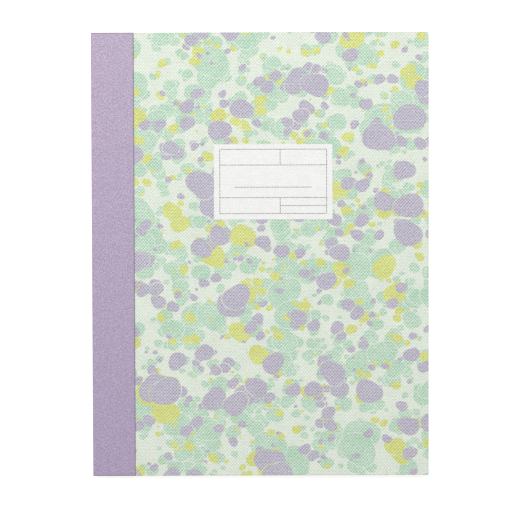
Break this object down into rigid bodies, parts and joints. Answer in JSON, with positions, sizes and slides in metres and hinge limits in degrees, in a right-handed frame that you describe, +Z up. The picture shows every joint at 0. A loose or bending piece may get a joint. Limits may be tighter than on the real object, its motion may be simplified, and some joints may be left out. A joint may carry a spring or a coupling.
{
  "type": "notebook",
  "caption": "Closed hardback notebook with flush-cut marbled covers, a cloth spine tape, a ruled cover label and a sewn block of leaves; both covers open on the spine.",
  "frame": {"origin": "centre of the closed notebook's outline, on the plane that it lies on", "axes": "+X from the spine to the fore edge, +Y from the tail to the head, +Z up through the thickness to the front cover"},
  "size_m": [0.148, 0.195, 0.009],
  "materials": {
    "leaf_paper": "matte",
    "endpaper": "matte",
    "grey_board": "matte",
    "cover_paper": "matte",
    "mint_ink": "matte",
    "lime_ink": "matte",
    "lilac_ink": "matte",
    "spine_cloth": "matte",
    "spine_lining": "matte",
    "binding_glue": "satin",
    "linen_thread": "matte",
    "label_paper": "matte",
    "label_ink": "matte"
  },
  "bodies": {
    "page_block": {"pages": "leaf_paper", "sewing_thread": "linen_thread", "spine_glue": "binding_glue", "spine_lining": "spine_lining", "spine_tape": "spine_cloth", "front_flyleaf": "endpaper", "back_flyleaf": "endpaper"},
    "front_cover": {"front_board": "grey_board", "front_cover_paper": "cover_paper", "front_mint_print": "mint_ink", "front_lime_print": "lime_ink", "front_lilac_print": "lilac_ink", "front_tape": "spine_cloth", "front_pastedown": "endpaper", "label": "label_paper", "label_rules": "label_ink"},
    "back_cover": {"back_board": "grey_board", "back_cover_paper": "cover_paper", "back_mint_print": "mint_ink", "back_lime_print": "lime_ink", "back_lilac_print": "lilac_ink", "back_tape": "spine_cloth", "back_pastedown": "endpaper"}
  },
  "joints": [
    {"name": "front_cover_hinge", "type": "hinge", "parent": "page_block", "child": "front_cover", "pos_m": [-0.074, 0, 0.00727], "axis": [0, -1, 0], "range_deg": [0, 180]},
    {"name": "back_cover_hinge", "type": "hinge", "parent": "page_block", "child": "back_cover", "pos_m": [-0.074, 0, 0.0017], "axis": [0, 1, 0], "range_deg": [0, 180]}
  ]
}
